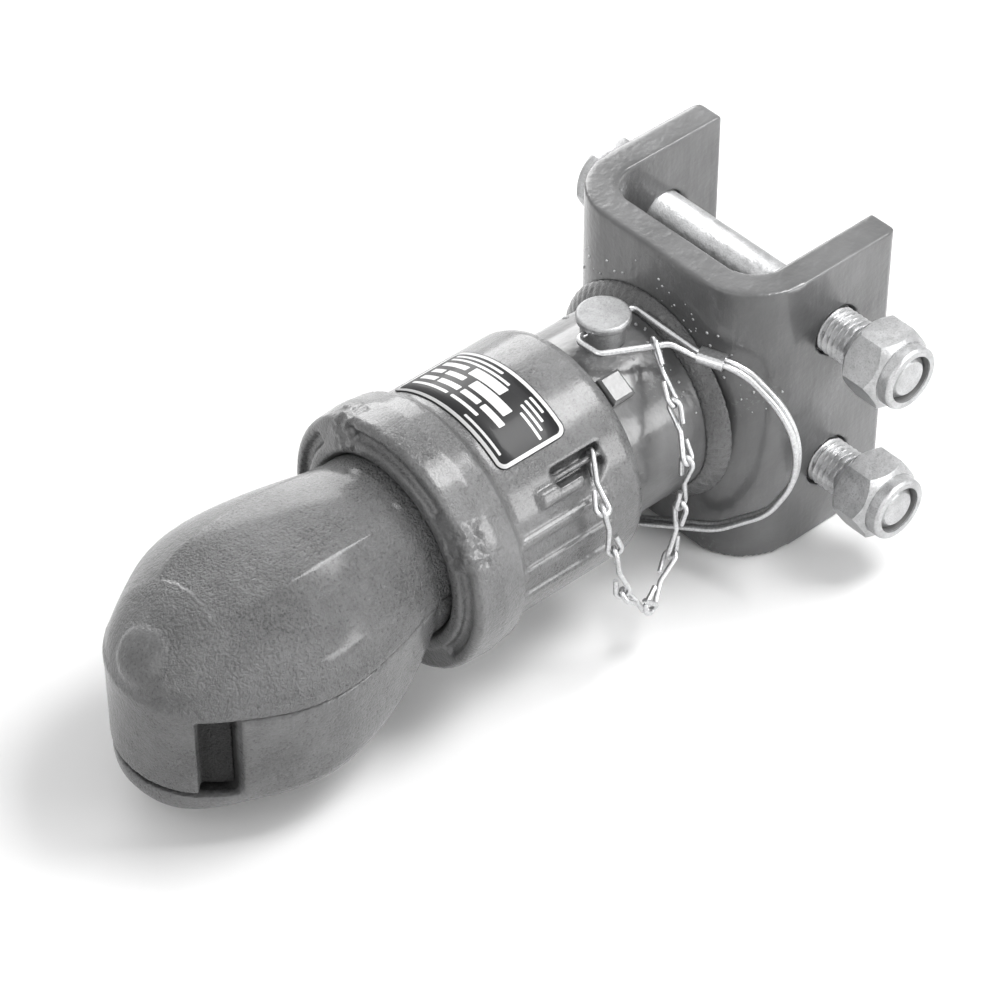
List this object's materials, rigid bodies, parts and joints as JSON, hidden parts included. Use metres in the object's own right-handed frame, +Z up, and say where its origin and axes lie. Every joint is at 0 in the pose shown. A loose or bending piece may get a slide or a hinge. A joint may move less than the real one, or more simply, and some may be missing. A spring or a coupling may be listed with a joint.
{
  "type": "trailer coupler",
  "caption": "Ball coupler with a sliding lock collar, hinged lower jaw, lock pin on a wire bail with chain, and a bolted channel bracket.",
  "frame": {"origin": "centre of the coupler ball, which is the centre of the socket", "axes": "+X towards the nose, +Y towards the lock nuts, +Z up; the socket opens downwards"},
  "size_m": [0.3185, 0.1628, 0.127],
  "materials": {
    "casting_paint": "grey paint over rough cast iron",
    "jaw_paint": "grey paint over rough cast iron",
    "collar_paint": "grey paint over cast iron, worn thin at the edges",
    "tube_paint": "grey satin paint over steel tube",
    "bracket_paint": "grey satin paint over steel plate",
    "zinc": "zinc plated",
    "pin_zinc": "zinc plated, dull",
    "wire_zinc": "bright drawn wire",
    "nylon": "matte",
    "label_film": "dark film with a light border",
    "inner_steel": "oiled"
  },
  "bodies": {
    "frame": {"upper_jaw_casting": "casting_paint", "jaw_hinge_pin": "inner_steel", "drawbar_tube": "tube_paint", "key_block": "tube_paint", "spring_seat": "inner_steel", "tube_weld_bead": "bracket_paint", "channel_bracket": "bracket_paint", "upper_bolt": "zinc", "lower_bolt": "zinc", "upper_lock_nut": "zinc", "lower_lock_nut": "zinc", "upper_nylon_insert": "nylon", "lower_nylon_insert": "nylon"},
    "collar": {"sliding_collar": "collar_paint", "capacity_label": "label_film", "collar_spring": "inner_steel"},
    "lower_jaw": {"lower_jaw": "jaw_paint"},
    "lock_pin": {"lock_pin": "pin_zinc"},
    "wire_bail": {"wire_bail": "wire_zinc", "bail_sleeve": "wire_zinc"},
    "chain_lower": {"chain_link_01": "wire_zinc", "chain_link_02": "wire_zinc", "chain_link_03": "wire_zinc", "chain_link_04": "wire_zinc"},
    "chain_upper": {"chain_link_05": "wire_zinc", "chain_link_06": "wire_zinc", "chain_link_07": "wire_zinc", "chain_link_08": "wire_zinc", "chain_link_09": "wire_zinc"}
  },
  "joints": [
    {"name": "collar_slide", "type": "slide", "parent": "frame", "child": "collar", "axis": [-1, 0, 0], "range_m": [0, 0.016], "stiffness_N_per_m": 1500, "springref_m": -0.012, "deforming": ["collar_spring"]},
    {"name": "jaw_hinge", "type": "hinge", "parent": "frame", "child": "lower_jaw", "pos_m": [-0.0945, 0, -0.001], "axis": [0, 1, 0], "range_deg": [0, 15.5]},
    {"name": "pin_lift", "type": "slide", "parent": "frame", "child": "lock_pin", "axis": [0, 0, 1], "range_m": [0, 0.115]},
    {"name": "bail_swing", "type": "hinge", "parent": "lock_pin", "child": "wire_bail", "pos_m": [-0.1825, 0, 0.049], "axis": [1, 0, 0], "range_deg": [0, 110]},
    {"name": "chain_anchor", "type": "hinge", "parent": "collar", "child": "chain_lower", "pos_m": [-0.1435, 0.03593, 0.03159], "axis": [1, 0, 0], "range_deg": [0, 12]},
    {"name": "chain_top", "type": "hinge", "parent": "wire_bail", "child": "chain_upper", "pos_m": [-0.18806, 0.02122, 0.0486], "axis": [-0.97, 0.243, -0.01], "range_deg": [0, 100]}
  ],
  "couplings": [
    {"joint": "jaw_hinge", "follows": "collar_slide", "rad_per_m": 16.906},
    {"joint": "pin_lift", "follows": "collar_slide", "ratio": 7.1868},
    {"joint": "bail_swing", "follows": "collar_slide", "rad_per_m": 119.98},
    {"joint": "chain_top", "follows": "collar_slide", "rad_per_m": 109.07},
    {"joint": "chain_anchor", "follows": "collar_slide", "rad_per_m": 13.089}
  ]
}
